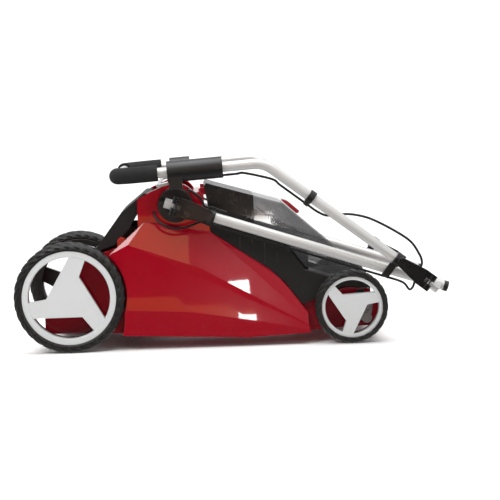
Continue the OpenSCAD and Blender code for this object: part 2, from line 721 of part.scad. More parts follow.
// ---------- lower handle ----------
module at_pivot() { place() at(pivot_x, pivot_z, lower_slope) children(); }
module at_hinge() { place() at(hinge_x, hinge_z, 180 + upper_slope) children(); }
tube_tail = 24;
module lower_tubes() {
    color(silver) at_pivot() both_sides() difference() {
        translate([-tube_tail, lower_y, 0]) pipe(lower_len + lower_tail + tube_tail);
        rod_y(bolt_r + fit, lower_y - 20, lower_y + 20);
        rod_y(bolt_r + fit, lower_y - 20, lower_y + 20, lower_len);
    }
}
module lower_end_caps() {
    color(black) at_pivot() both_sides() translate([lower_len + lower_tail, lower_y, 0]) rotate([0, 90, 0]) {
        translate([0, 0, gap]) cylinder(h = cap_t - gap, r = cap_r, $fn = fine);
        translate([0, 0, -16]) cylinder(h = 17, r = tube_r - tube_wall - 0.1, $fn = fine);
    }
}
module pivot_bases() {
    color(black) place() both_sides() difference() {
        rod_y(base_r, base_y, base_y + base_t, pivot_x, pivot_z);
        rod_y(bolt_r + fit, base_y - 1, base_y + base_t + 1, pivot_x, pivot_z);
        rod_y(base_r - 4, base_y + 6, base_y + base_t - 4, pivot_x, pivot_z);
    }
    color(black) place() both_sides() difference() {
        rod_y(12, base_y + 5, base_y + base_t - 3, pivot_x, pivot_z);
        rod_y(bolt_r + fit, base_y - 1, base_y + base_t + 1, pivot_x, pivot_z);
    }
}
module pivot_saddles() {
    color(black) at_pivot() both_sides() difference() {
        rod_y(saddle_r, saddle_y, saddle_y + saddle_t);
        translate([-saddle_r - 1, lower_y, 0]) rotate([0, 90, 0])
            cylinder(h = 2 * saddle_r + 2, r = tube_r + 0.15, $fn = fine);
        rod_y(bolt_r + fit, saddle_y - 1, saddle_y + saddle_t + 1);
    }
}
pin_y = lower_y + tube_r + 10.5;
module pivot_bolts() {
    color(steel) at_pivot() both_sides() {
        rod_y(bolt_r, tower_half - 19, pin_y);
        rod_y(7.5, tower_half - 20.6, tower_half - 14 - gap);
        translate([0, pin_y, -15]) cylinder(h = 30, r = bolt_r, $fn = fine);
    }
}
// Flip lever of a quick clamp: a fork on the bolt's cross pin, with a handle along +X
module clamp_lever(len, root, tip) {
    difference() {
        union() {
            translate([0, 0, -root]) cylinder(h = 2 * root, r = 8.8, $fn = fine);
            hull() {
                translate([4, -7.5, -root]) cube([16, 15, 2 * root]);
                translate([len - tip, 0, 0]) rotate([-90, 0, 0]) translate([0, 0, -4])
                    cylinder(h = 10, r = tip, $fn = facets);
            }
        }
        translate([0, 0, -root - 1]) cylinder(h = 2 * root + 2, r = bolt_r + fit, $fn = fine);
        translate([-12, -12, -4.6]) cube([24, 24, 9.2]);
    }
}
module pivot_lever_left() { color(black) at_pivot() translate([0, pin_y, 0]) clamp_lever(84, 21, 14); }
module pivot_lever_right() { mirror([0, 1, 0]) pivot_lever_left(); }
clip_at = 72;
module cable_clip() {
    color(black) at_pivot() difference() {
        union() {
            translate([clip_at, -lower_y, 0]) rotate([0, 90, 0]) cylinder(h = 16, r = tube_r + 3.5, $fn = fine);
            translate([clip_at + 2, -lower_y - 5, tube_r]) cube([12, 10, 10]);
            translate([clip_at + 2, -lower_y - 5, -tube_r - 10]) cube([12, 10, 10]);
        }
        translate([clip_at - 1, -lower_y, 0]) rotate([0, 90, 0]) cylinder(h = 18, r = tube_r + 0.15, $fn = fine);
        for (s = [-1, 1]) translate([clip_at - 1, -lower_y, s * (tube_r + 6.5)]) rotate([0, 90, 0])
            cylinder(h = 18, r = cable_r + 0.2, $fn = facets);
    }
}

// ---------- cable ----------
cable_r = 2.6;
cable_y = -lower_y;
// A round cable swept along points
function unit(v) = v / norm(v);
function run_dir(p, i) = unit(p[min(i + 1, len(p) - 1)] - p[max(i - 1, 0)]);
function ring(p, i, n) = let (t = run_dir(p, i), u = unit(cross(t, [0.05, 1, 0.03])), v = cross(t, u))
    [for (k = [0:n - 1]) p[i] + cable_r * (cos(360 * k / n) * u + sin(360 * k / n) * v)];
module cable(p) {
    n = 8;
    m = len(p);
    polyhedron(
        points = [for (i = [0:m - 1]) each ring(p, i, n)],
        faces = concat(
            [[for (k = [0:n - 1]) k]],
            [for (i = [0:m - 2]) for (k = [0:n - 1]) [i * n + k, (i + 1) * n + k, (i + 1) * n + (k + 1) % n,
                i * n + (k + 1) % n]],
            [[for (k = [n - 1:-1:0]) (m - 1) * n + k]]));
}
// Routes, as points [x, y, z] from the rear axle on the ground
under_tube = tube_r + 6.5;
function on_lower(s, off) = [pivot_x + s * cos(lower_slope) - off * sin(lower_slope), cable_y,
    pivot_z - s * sin(lower_slope) - off * cos(lower_slope)];
lower_run = [for (s = [62, 92, 130, 200, 270, 340, 410, 470, 505]) on_lower(s, under_tube)];
pivot_loop = [[188, -126, 296], [188, -135, 292], [190, -160, 286], [196, -188, 279], [212, -196, 272], [236, -196, 269],
    [260, -196, 270], [278, -196, 273], [288, -196, 275.5]];
module cable_lower() { color(black) place() cable(lower_run); }

// ---------- upper handle ----------
// The frame of a leg: X from the middle hinge towards the bend
hinge_tail = 28;
module leg() {
    translate([-hinge_tail, 0, 0]) pipe(upper_len - bend_cut + hinge_tail);
    translate([upper_len - bend_cut, 0, 0]) rotate([90, 0, 0]) pipe_bend(bend_r, bend_turn);
}
module at_grip() { place() at(bend_x, bend_z, 180 - grip_slope) children(); }
// The frame past a leg's bend, seen from the middle hinge
module past_bend() {
    translate([upper_len - bend_cut, 0, bend_r]) rotate([0, -bend_turn, 0]) translate([0, 0, -bend_r]) children();
}
module upper_tube() {
    straight = grip_len - bend_cut - corner_r;
    color(silver) at_hinge() {
        both_sides() difference() {
            translate([0, upper_y, 0]) leg();
            rod_y(bolt_r + fit, upper_y - 20, upper_y + 20);
        }
        past_bend() {
            both_sides() {
                translate([0, upper_y, 0]) pipe(straight);
                // sleeve inside the joint past the bend
                translate([-2, upper_y, 0]) rotate([0, 90, 0]) difference() {
                    cylinder(h = 4, r = tube_r - tube_wall / 2, $fn = fine);
                    translate([0, 0, -1]) cylinder(h = 6, r = tube_r - tube_wall - 1.2, $fn = fine);
                }
                translate([straight, upper_y, 0]) mirror([0, 1, 0]) pipe_bend(corner_r, 90);
            }
            translate([straight + corner_r, -upper_y + corner_r, 0]) rotate([0, 0, 90])
                pipe(2 * (upper_y - corner_r));
        }
    }
}
hinge_pin_y = upper_y + tube_r + 10.5;
module hinge_bolts() {
    color(steel) at_hinge() both_sides() {
        rod_y(bolt_r, lower_y - tube_r - 6, hinge_pin_y);
        rod_y(8, lower_y - tube_r - 6, lower_y - tube_r - gap);
        translate([0, hinge_pin_y, -15]) cylinder(h = 30, r = bolt_r, $fn = fine);
    }
}
module hinge_lever_left() { color(black) at_hinge() translate([0, hinge_pin_y, 0]) clamp_lever(82, 19, 11); }
module hinge_lever_right() { mirror([0, 1, 0]) hinge_lever_left(); }
grip_from = 88;
module grips() {
    start = grip_len - grip_from;
    color(black) at_grip() both_sides() difference() {
        union() {
            translate([start, upper_y, 0]) rotate([0, 90, 0])
                cylinder(h = grip_from - corner_r, r = grip_d / 2, $fn = fine);
            translate([grip_len - corner_r, upper_y, 0]) mirror([0, 1, 0])
                pipe_bend(corner_r, 80, grip_d / 2, tube_r + 0.15);
        }
        translate([start - 1, upper_y, 0]) rotate([0, 90, 0])
            cylinder(h = grip_from - corner_r + 1, r = tube_r + 0.15, $fn = fine);
    }
}
housing_from = 88;
housing_len = 118;
module switch_housing() {
    color(black) at_grip() difference() {
        union() {
            translate([housing_from, -upper_y, 0]) rotate([0, 90, 0]) cylinder(h = housing_len, r = 23, $fn = fine);
            translate([housing_from + housing_len - 30, -upper_y - 20, 8]) cube([28, 40, 30]);
        }
        translate([housing_from - 1, -upper_y, 0]) rotate([0, 90, 0])
            cylinder(h = housing_len + 2, r = tube_r + 0.15, $fn = fine);
        rod_y(bail_r + fit, -upper_y + 10, -upper_y + 30, bail_at, bail_drop);
        rod_y(8.3, -upper_y + 12, -upper_y + 30, housing_from + 70, 4);
    }
}
module far_housing() {
    color(black) at_grip() difference() {
        union() {
            translate([housing_from + housing_len - 48, upper_y, 0]) rotate([0, 90, 0])
                cylinder(h = 48, r = 19, $fn = fine);
            translate([housing_from + housing_len - 30, upper_y - 20, 6]) cube([28, 36, 24]);
        }
        translate([housing_from + 20, upper_y, 0]) rotate([0, 90, 0])
            cylinder(h = housing_len, r = tube_r + 0.15, $fn = fine);
        rod_y(bail_r + fit, upper_y - 30, upper_y - 10, bail_at, bail_drop);
    }
}
bail_r = 4;
bail_at = housing_from + housing_len - 12;
bail_drop = 23;
bail_in = upper_y - 26;
module start_bail() {
    reach = 34;
    tilt = 8;
    color(silver) at_grip() translate([bail_at, 0, bail_drop]) {
        both_sides() {
            rod_y(bail_r, bail_in, upper_y - 13);
            translate([0, bail_in, 0]) rotate([0, 90 - tilt, 0]) cylinder(h = reach, r = bail_r, $fn = fine);
            translate([0, bail_in, 0]) sphere(r = bail_r + 0.6, $fn = facets);
            rotate([0, -tilt, 0]) translate([reach, bail_in, 0]) sphere(r = bail_r + 0.6, $fn = facets);
        }
        rotate([0, -tilt, 0]) rod_y(bail_r, -bail_in, bail_in, reach, 0);
    }
}
module lock_button() {
    color([0.75, 0.1, 0.1]) at_grip() rod_y(8, -upper_y + 18.4, -upper_y + 28, housing_from + 70, 4);
}
hook_at = 80;
module tube_hooks() {
    color(black) at_hinge() {
        both_sides() difference() {
            union() {
                translate([hook_at - 8, upper_y, 0]) rotate([0, 90, 0]) cylinder(h = 16, r = tube_r + 4, $fn = fine);
                translate([hook_at - 8, upper_y - 11.4, 0]) cube([16, 4, 46]);
            }
            translate([hook_at - 9, upper_y, 0]) rotate([0, 90, 0]) cylinder(h = 18, r = tube_r + 0.15, $fn = fine);
        }
        difference() {
            union() {
                translate([clip2_at - 7, -upper_y, 0]) rotate([0, 90, 0]) cylinder(h = 14, r = tube_r + 3.5, $fn = fine);
                translate([clip2_at - 5, -upper_y - 5, tube_r]) cube([10, 10, 11]);
            }
            translate([clip2_at - 8, -upper_y, 0]) rotate([0, 90, 0]) cylinder(h = 16, r = tube_r + 0.15, $fn = fine);
            translate([clip2_at - 8, -upper_y, tube_r + 6.5]) rotate([0, 90, 0])
                cylinder(h = 16, r = cable_r + 0.2, $fn = facets);
        }
    }
}
clip2_at = 310;
function on_upper(s, off) = [hinge_x - s * cos(upper_slope) - off * sin(upper_slope), -upper_y,
    hinge_z + s * sin(upper_slope) - off * cos(upper_slope)];
function on_grip(s, off) = [bend_x - s * cos(grip_slope) + off * sin(grip_slope), -upper_y,
    bend_z - s * sin(grip_slope) - off * cos(grip_slope)];
upper_run = concat(
    [for (s = [housing_from - 0.4, 74, 58, 42]) on_grip(s, under_tube)],
    [for (s = [upper_len - 34, 380, 350, clip2_at + 12, clip2_at, clip2_at - 12]) on_upper(s, under_tube)]);
mid_loop = concat([for (s = [clip2_at - 12.6, clip2_at - 25]) on_upper(s, under_tube)],
    [[549, -213, 284.5], [560, -205, 281], [577, -202, 282], [610, -202, 282], [650, -202, 272],
    [698, -202, 247], [737, -201, 220], [756, -199, 192], [762, -197, 176], [761, -190, 163], [755, -182, 150],
    [749, -179, 134], [744, -180, 119], [735, -187, 114]],
    [on_lower(521, under_tube + 2.5), on_lower(505.8, under_tube)]);
pivot_top = concat([for (s = [110, 96, 84, 72, 60]) on_lower(s, -under_tube)],
    [[290, -192, 326], [280, -184, 335], [271, -170, 341], [pivot_x + 29.5, -156, pivot_z + 30.5],
    [pivot_x + 29.5, -147.5, pivot_z + 30.5]]);
pivot_bottom = concat([[188, -136, 296], [188, -150, 296], [189, -166, 292], [195, -184, 283], [208, -194, 272],
    [228, -197, 264], [250, -197, 264], [268, -196, 269]], [on_lower(60.5, under_tube)]);
module cable_upper() { color(black) place() cable(upper_run); }
module cable_mid_loop() { color(black) place() cable(mid_loop); }
module cable_pivot_loop() {
    color(black) place() {
        cable(pivot_top);
        cable(pivot_bottom);
    }
}

deck_shell();
chute_frame();
side_cover_right();
side_cover_left();
front_cover();
height_scale();
motor_housing();
motor_stator();
housing_screws();
battery_bay();
lid_hinge_rod();
pivot_bases();
axle_bushes();
flap_rod();
flap_spring();
lid_shell();
lid_panel();
lid_grip();
battery_right();
battery_left();
safety_key();
rotor_shaft();
blade_carrier();
blade();
blade_bolt();
rear_axle();
height_lever();
height_knob();
front_axle();
link_rod();
tyre_rear_right();
tyre_rear_left();
tyre_front_right();
tyre_front_left();
hub_rear_right();
hub_rear_left();
hub_front_right();
hub_front_left();
rear_flap();
lower_tubes();
lower_end_caps();
pivot_saddles();
pivot_bolts();
cable_clip();
cable_lower();
pivot_lever_right();
pivot_lever_left();
hinge_lever_right();
hinge_lever_left();
upper_tube();
hinge_bolts();
grips();
switch_housing();
far_housing();
tube_hooks();
cable_upper();
cable_mid_loop();
cable_pivot_loop();
start_bail();
lock_button();
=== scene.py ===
import math

import bmesh
import bpy
from mathutils import Matrix, Vector


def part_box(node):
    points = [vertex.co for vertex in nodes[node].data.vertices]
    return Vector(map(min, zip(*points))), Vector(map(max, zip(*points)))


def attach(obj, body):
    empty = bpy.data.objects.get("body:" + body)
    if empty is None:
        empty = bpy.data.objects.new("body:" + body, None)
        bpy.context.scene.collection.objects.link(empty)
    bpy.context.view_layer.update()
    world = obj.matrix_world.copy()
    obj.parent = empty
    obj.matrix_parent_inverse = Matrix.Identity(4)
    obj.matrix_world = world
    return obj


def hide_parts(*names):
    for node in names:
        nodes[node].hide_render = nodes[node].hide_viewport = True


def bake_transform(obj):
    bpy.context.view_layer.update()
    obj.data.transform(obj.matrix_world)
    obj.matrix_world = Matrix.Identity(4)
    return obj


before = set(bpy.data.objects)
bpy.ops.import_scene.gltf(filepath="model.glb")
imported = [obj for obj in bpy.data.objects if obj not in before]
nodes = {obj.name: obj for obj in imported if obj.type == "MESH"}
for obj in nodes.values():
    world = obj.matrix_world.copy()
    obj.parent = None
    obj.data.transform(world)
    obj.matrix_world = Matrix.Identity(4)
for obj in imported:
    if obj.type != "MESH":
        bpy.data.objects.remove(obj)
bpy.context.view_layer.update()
scene = bpy.context.scene

MM = 0.001
REAR_RADIUS, REAR_WIDTH = 120, 44
FRONT_RADIUS, FRONT_WIDTH = 80, 40
WHEELBASE = 610
# The rear axle lies this far from the frame's origin
REAR_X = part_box("tyre_rear_right")[0].x + REAR_RADIUS * MM


def at(x, y, z):
    """A point given in millimetres from the rear axle on the ground."""
    return Vector((REAR_X + x * MM, y * MM, z * MM))


# ---------- camera ----------
def make_camera():
    """Looks at the right side, from a place and with a tilt fitted to the object's outline."""
    az, el, roll = math.radians(-1.97), math.radians(4.95), math.radians(-1.76)
    right = Vector((math.cos(az), math.sin(az), 0))
    back = Vector((math.sin(az) * math.cos(el), -math.cos(az) * math.cos(el), math.sin(el)))
    up = back.cross(right)
    r2 = right * math.cos(roll) + up * math.sin(roll)
    u2 = up * math.cos(roll) - right * math.sin(roll)
    data = bpy.data.cameras.new("camera")
    data.lens = 112.1
    data.sensor_width = 36
    data.clip_end = 50
    cam = bpy.data.objects.new("camera", data)
    scene.collection.objects.link(cam)
    m = Matrix((r2, u2, back)).transposed().to_4x4()
    m.translation = at(277.6, -3524.65, 500.2)
    cam.matrix_world = m
    scene.camera = cam


make_camera()


# ---------- materials ----------
class Shader:
    """A node-built material on one Principled shader."""

    def __init__(self, name):
        self.m = bpy.data.materials.new(name)
        self.m.use_nodes = True
        self.nt = self.m.node_tree
        self.p = self.nt.nodes["Principled BSDF"]
        self.co = self.nt.nodes.new("ShaderNodeTexCoord").outputs["Object"]

    def new(self, kind, **values):
        n = self.nt.nodes.new(kind)
        for key, value in values.items():
            if key in n.inputs.keys():
                n.inputs[key].default_value = value
            else:
                setattr(n, key, value)
        return n

    def link(self, a, b):
        self.nt.links.new(a, b)

    def scaled(self, size):
        n = self.new("ShaderNodeMapping")
        n.inputs["Scale"].default_value = size
        self.link(self.co, n.inputs["Vector"])
        return n.outputs["Vector"]

    def noise(self, scale, detail=3.0, rough=0.55, vector=None):
        n = self.new("ShaderNodeTexNoise", Scale=scale, Detail=detail, Roughness=rough)
        self.link(vector or self.co, n.inputs["Vector"])
        return n.outputs["Fac"]

    def ramp(self, fac, low, high, a=0.0, b=1.0):
        n = self.new("ShaderNodeMapRange")
        n.inputs["From Min"].default_value = low
        n.inputs["From Max"].default_value = high
        n.inputs["To Min"].default_value = a
        n.inputs["To Max"].default_value = b
        self.link(fac, n.inputs["Value"])
        return n.outputs["Result"]

    def math(self, op, a, b):
        n = self.new("ShaderNodeMath", operation=op)
        for i, v in enumerate((a, b)):
            if isinstance(v, (int, float)):
                n.inputs[i].default_value = v
            else:
                self.link(v, n.inputs[i])
        return n.outputs[0]

    def mix(self, fac, a, b):
        n = self.new("ShaderNodeMix", data_type="RGBA")
        for socket, v in ((n.inputs[0], fac), (n.inputs[6], a), (n.inputs[7], b)):
            if isinstance(v, (int, float)):
                socket.default_value = v
            elif isinstance(v, (tuple, list)):
                socket.default_value = (*v, 1.0)[:4]
            else:
                self.link(v, socket)
        return n.outputs[2]


def tone(color, k):
    return tuple(min(1.0, c * k) for c in color)


def material(name, color, rough, metallic=0.0, coat=0.0, patch=0.12, grain=(900, 0.00004), spread=0.08,
             wear=0.25, dust=0.0, bevel=0.0008, stretch=None, scratch=0.0, specular=0.5, flecks=0.35,
             coat_rough=0.06):
    """Moulded, painted or metal finish: patchy tint, grain, scuffed edges, and dust near the ground."""
    s = Shader(name)
    p = s.p
    broad = s.noise(9.0, 2.0)
    base = s.mix(s.ramp(broad, 0.3, 0.7), color, tone(color, 1.0 - patch))
    fine = s.noise(grain[0], 4.0, 0.6, s.scaled(stretch) if stretch else None)
    base = s.mix(s.ramp(fine, 0.35, 0.75, 0.0, flecks), base, tone(color, 1.0 + 1.4 * patch))
    normal = None
    if bevel:
        soft = s.new("ShaderNodeBevel", samples=4, Radius=bevel)
        normal = soft.outputs["Normal"]
        true = s.new("ShaderNodeNewGeometry").outputs["Normal"]
        dot = s.new("ShaderNodeVectorMath", operation="DOT_PRODUCT")
        s.link(normal, dot.inputs[0])
        s.link(true, dot.inputs[1])
        edge = s.ramp(dot.outputs["Value"], 0.995, 0.90)
        rubbed = s.math("MULTIPLY", edge, s.ramp(s.noise(60.0, 4.0), 0.42, 0.62))
        worn = s.math("MULTIPLY", rubbed, wear)
        base = s.mix(worn, base, tone([0.5 * c + 0.2 for c in color], 1.15))
    if dust:
        height = s.new("ShaderNodeSeparateXYZ")
        s.link(s.co, height.inputs[0])
        low = s.ramp(height.outputs["Z"], 0.16, 0.0)
        specks = s.ramp(s.noise(240.0, 5.0, 0.7), 0.45, 0.75)
        base = s.mix(s.math("MULTIPLY", s.math("MULTIPLY", low, specks), dust), base, (0.33, 0.30, 0.25))
    s.link(base, p.inputs["Base Color"])
    mid = s.noise(38.0, 5.0, 0.65)
    r = s.ramp(mid, 0.3, 0.7, max(0.02, rough - spread), min(1.0, rough + spread))
    if scratch:
        lines = s.noise(420.0, 2.0, 0.5, s.scaled((0.12, 1.0, 2.2)))
        r = s.math("ADD", r, s.ramp(lines, 0.62, 0.72, 0.0, scratch))
    s.link(r, p.inputs["Roughness"])
    bump = s.new("ShaderNodeBump", Strength=1.0, Distance=grain[1])
    s.link(fine, bump.inputs["Height"])
    if normal is not None:
        s.link(normal, bump.inputs["Normal"])
    s.link(bump.outputs["Normal"], p.inputs["Normal"])
    p.inputs["Metallic"].default_value = metallic
    p.inputs["Specular IOR Level"].default_value = specular
    p.inputs["Coat Weight"].default_value = coat
    p.inputs["Coat Roughness"].default_value = coat_rough
    return s.m


def smoked_clear():
    """Smoke tinted clear plastic: mostly see-through, with a dark glossy skin."""
    s = Shader("clear_smoke")
    p = s.p
    haze = s.ramp(s.noise(14.0, 3.0), 0.3, 0.7)
    s.link(s.mix(haze, (0.055, 0.055, 0.06), (0.10, 0.10, 0.105)), p.inputs["Base Color"])
    s.link(s.ramp(s.noise(55.0, 4.0), 0.3, 0.7, 0.05, 0.13), p.inputs["Roughness"])
    bump = s.new("ShaderNodeBump", Strength=1.0, Distance=0.00002)
    s.link(s.noise(30.0, 3.0), bump.inputs["Height"])
    s.link(bump.outputs["Normal"], p.inputs["Normal"])
    p.inputs["Alpha"].default_value = 0.5
    p.inputs["Coat Weight"].default_value = 0.5
    return s.m


def rubber(name, color, rough=0.75, dust=0.35, grain=(1500, 0.00008)):
    """Dull black rubber or foam, with scuffs and some dust."""
    return material(name, color, rough, patch=0.18, grain=grain, wear=0.35, dust=dust, bevel=0.0006,
                    specular=0.3)


RED = (0.26, 0.0, 0.008)
BLACK = (0.008, 0.0076, 0.0076)
finishes = {
    "red": material("deck_paint", RED, 0.2, coat=0.7, patch=0.05, grain=(260, 0.000004), spread=0.04, wear=0.06,
                    dust=0.04, bevel=0.003, scratch=0.02, specular=0.2, flecks=0.1, coat_rough=0.02),
    "red_small": material("red_moulding", RED, 0.25, coat=0.3, grain=(600, 0.00002)),
    "black": material("black_moulding", BLACK, 0.36, grain=(1400, 0.00005), wear=0.25, dust=0.08, bevel=0.0014),
    "black_rough": material("black_texture", tone(BLACK, 0.9), 0.5, grain=(1900, 0.0001), wear=0.25, dust=0.12,
                            bevel=0.0014),
    "gloss": material("black_gloss", tone(BLACK, 0.6), 0.3, coat=0.15, grain=(900, 0.00003), wear=0.2,
                      scratch=0.08, bevel=0.002, specular=0.35),
    "tube": material("tube_coat", (0.56, 0.555, 0.545), 0.36, metallic=0.45, coat=0.1, patch=0.04,
                     grain=(1300, 0.000006), spread=0.04, wear=0.0, bevel=0.0, scratch=0.04, flecks=0.1),
    "steel": material("zinc_steel", (0.47, 0.47, 0.48), 0.36, metallic=0.95, patch=0.15, grain=(500, 0.00003),
                      spread=0.1, wear=0.2, bevel=0.0005, stretch=(0.15, 1.0, 1.0)),
    "hub": material("hub_moulding", (0.50, 0.515, 0.515), 0.4, patch=0.05, grain=(1200, 0.00003), wear=0.1,
                    dust=0.15, bevel=0.001, flecks=0.15),
    "tyre": rubber("tyre_rubber", (0.014, 0.0135, 0.0132), 0.42, 0.1),
    "dark_steel": material("dark_zinc", (0.22, 0.22, 0.225), 0.3, metallic=0.9, grain=(500, 0.00002),
                           bevel=0.0006),
    "foam": rubber("grip_foam", (0.012, 0.012, 0.012), 0.85, 0.0, (2400, 0.0003)),
    "cable": rubber("cable_sheath", (0.01, 0.01, 0.01), 0.45, 0.0),
    "copper": material("copper_wire", (0.55, 0.2, 0.08), 0.3, metallic=0.8, grain=(1500, 0.0002),
                       stretch=(1.0, 1.0, 0.05)),
    "key": material("key_moulding", (0.75, 0.42, 0.01), 0.3, coat=0.2),
    "clear": smoked_clear(),
    "button": material("red_button", (0.5, 0.01, 0.01), 0.3, coat=0.2),
}
wears = {
    "red": ["deck_shell"], "red_small": ["lid_grip"], "button": ["lock_button"], "clear": ["lid_shell"],
    "key": ["safety_key"], "copper": ["motor_stator"], "foam": ["grips"],
    "black_rough": ["chute_frame", "side_cover_right", "side_cover_left", "motor_housing", "battery_bay",
                    "blade_carrier", "rear_flap", "axle_bushes", "pivot_bases"],
    "gloss": ["lid_panel", "pivot_lever_right", "pivot_lever_left", "hinge_lever_right", "hinge_lever_left"],
    "tube": ["lower_tubes", "upper_tube", "start_bail"],
    "steel": ["housing_screws", "lid_hinge_rod", "flap_rod", "flap_spring", "rotor_shaft", "blade",
              "blade_bolt", "rear_axle", "height_lever", "front_axle", "link_rod"],
    "dark_steel": ["pivot_bolts", "hinge_bolts"],
    "hub": ["hub_rear_right", "hub_rear_left", "hub_front_right", "hub_front_left"],
    "tyre": ["tyre_rear_right", "tyre_rear_left", "tyre_front_right", "tyre_front_left"],
    "cable": ["cable_lower", "cable_upper", "cable_mid_loop", "cable_pivot_loop"],
}
worn_by = {n: k for k, names in wears.items() for n in names}
for name, obj in nodes.items():
    finish = finishes[worn_by.get(name, "black")]
    if not obj.material_slots:
        obj.data.materials.append(finish)
    for slot in obj.material_slots:
        slot.material = finish


# ---------- pieces ----------
def piece(name, verts, faces, finish, body):
    """A smooth-shaded mesh that rides on a body, or on none for the floor and for cables that run between two
    bodies.
    """
    mesh = bpy.data.meshes.new(name)
    mesh.from_pydata([tuple(v) for v in verts], [], faces)
    mesh.validate()
    mesh.polygons.foreach_set("use_smooth", [True] * len(mesh.polygons))
    mesh.materials.append(finishes[finish])
    obj = bpy.data.objects.new(name, mesh)
    scene.collection.objects.link(obj)
    if body:
        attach(obj, body)
    return obj


def smooth_path(points, per=8):
    """Catmull-Rom points through the given ones."""
    p = [points[0] * 2 - points[1]] + points + [points[-1] * 2 - points[-2]]
    out = []
    for i in range(1, len(p) - 2):
        for k in range(per):
            t = k / per
            out.append(0.5 * (2 * p[i] + (p[i + 1] - p[i - 1]) * t
                              + (2 * p[i - 1] - 5 * p[i] + 4 * p[i + 1] - p[i + 2]) * t * t
                              + (3 * p[i] - p[i - 1] - 3 * p[i + 1] + p[i + 2]) * t ** 3))
    out.append(points[-1])
    return out


def tube(path, radius, sides=14):
    """The vertices and faces of a round tube along a path, closed at both ends."""
    verts, faces = [], []
    side = Vector((0, 1, 0))
    for i, c in enumerate(path):
        along = (path[min(i + 1, len(path) - 1)] - path[max(i - 1, 0)]).normalized()
        side = (side - along * side.dot(along)).normalized()
        up = along.cross(side)
        for k in range(sides):
            a = 2 * math.pi * k / sides
            verts.append(c + radius * (side * math.cos(a) + up * math.sin(a)))
    for i in range(len(path) - 1):
        for k in range(sides):
            j = (k + 1) % sides
            faces.append((i * sides + k, i * sides + j, (i + 1) * sides + j, (i + 1) * sides + k))
    faces.append(tuple(range(sides - 1, -1, -1)))
    faces.append(tuple((len(path) - 1) * sides + k for k in range(sides)))
    return verts, faces


# The handle's tubes in the side view, in millimetres: their slopes and where they turn
LOWER, UPPER, GRIP = math.radians(18.4), math.radians(37.5), math.radians(3.6)
PIVOT = (235, 312)
LOWER_LENGTH, UPPER_LENGTH = 564, 434
HINGE = (PIVOT[0] + LOWER_LENGTH * math.cos(LOWER), PIVOT[1] - LOWER_LENGTH * math.sin(LOWER))
BEND = (HINGE[0] - UPPER_LENGTH * math.cos(UPPER), HINGE[1] + UPPER_LENGTH * math.sin(UPPER))
# The cable's centre lies this far below a tube's centre
UNDER = 17.5
CABLE_RADIUS = 2.6


def on_lower(s, off, y=-196):
    """A point s along the lower tube from the pivot, and off below its centre line."""
    return at(PIVOT[0] + s * math.cos(LOWER) - off * math.sin(LOWER), y,
              PIVOT[1] - s * math.sin(LOWER) - off * math.cos(LOWER))


def on_upper(s, off, y=-220):
    """A point s along the upper tube from the mid hinge, and off below its centre line."""
    return at(HINGE[0] - s * math.cos(UPPER) - off * math.sin(UPPER), y,
              HINGE[1] + s * math.sin(UPPER) - off * math.cos(UPPER))


def on_grip(s, off, y=-220):
    """A point s along the tube's grip part from its bend, and off below its centre line."""
    return at(BEND[0] - s * math.cos(GRIP) + off * math.sin(GRIP), y,
              BEND[1] - s * math.sin(GRIP) - off * math.cos(GRIP))


def cable(name, run, body=None):
    """A cable through the points of its run."""
    return piece(name, *tube(smooth_path(run), CABLE_RADIUS * MM), "cable", body)


def make_cables():
    run = [on_lower(s, UNDER) for s in (62, 92, 130, 200, 270, 340, 410, 470, 505)]
    lower = cable("cable_under_lower_tube", run, "lower_handle")
    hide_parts("cable_lower")
    run = [on_grip(s, UNDER) for s in (88, 74, 58, 42)]
    run += [on_upper(s, UNDER) for s in (400, 380, 350, 322, 310, 298)]
    upper = cable("cable_under_upper_tube", run, "upper_handle")
    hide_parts("cable_upper")
    run = [on_upper(s, UNDER) for s in (298, 285)]
    run += [at(*p) for p in ((549, -213, 284.5), (560, -205, 281), (577, -202, 282), (610, -202, 282),
                             (650, -202, 272), (698, -202, 247), (737, -201, 220), (756, -199, 192),
                             (762, -197, 176), (761, -190, 163), (755, -182, 150), (749, -179, 134),
                             (744, -180, 119), (735, -187, 114))]
    run += [on_lower(521, UNDER + 2.5), on_lower(505, UNDER)]
    loop = cable("cable_hinge_loop", run)
    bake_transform(loop)
    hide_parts("cable_mid_loop")
    run = [on_lower(s, -UNDER) for s in (110, 96, 84, 72, 60)]
    run += [at(*p) for p in ((290, -192, 326), (280, -184, 335), (271, -170, 341), (264.5, -156, 342.5),
                             (264.5, -147.5, 342.5))]
    top = cable("cable_over_pivot", run)
    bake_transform(top)
    run = [at(*p) for p in ((188, -136, 296), (188, -150, 296), (189, -166, 292), (195, -184, 283),
                            (208, -194, 272), (228, -197, 264), (250, -197, 264), (268, -196, 269))]
    run += [on_lower(61, UNDER)]
    bottom = cable("cable_under_pivot", run)
    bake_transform(bottom)
    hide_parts("cable_pivot_loop")
    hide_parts("cable_pivot_loop")


SHOULDER = 13        # the grooves start this far inside the tread
GROOVE_DEPTH = 4.6
GROOVE_SHARE = 0.22  # half the share of a pitch that a groove takes
GROOVE_EDGE = 0.08   # and the share that its sloping side takes


def tyre_section(radius, width):
    """Points (across, radius, share of the groove's depth) from one bead round to the other."""
    rim = radius * 0.846 + 0.1
    half = width / 2
    sect = [(2.0, rim, 0), (0.4, rim + 3, 0), (0.1, radius - 14, 0), (0.3, radius - 12.6, 0.5),
            (0.8, radius - 11, 1), (1.6, radius - 9.4, 1), (2.6, radius - 7.6, 1), (3.8, radius - 5.8, 1),
            (5.4, radius - 4.0, 1), (7.4, radius - 2.4, 1), (10, radius - 1.2, 1), (14, radius - 0.2, 1),
            (half - 2.6, radius, 1), (half - 1.7, radius - 0.1, 0.5), (half - 0.9, radius - 2.2, 0)]
    return sect + [(width - y, r, d) for y, r, d in reversed(sect)]


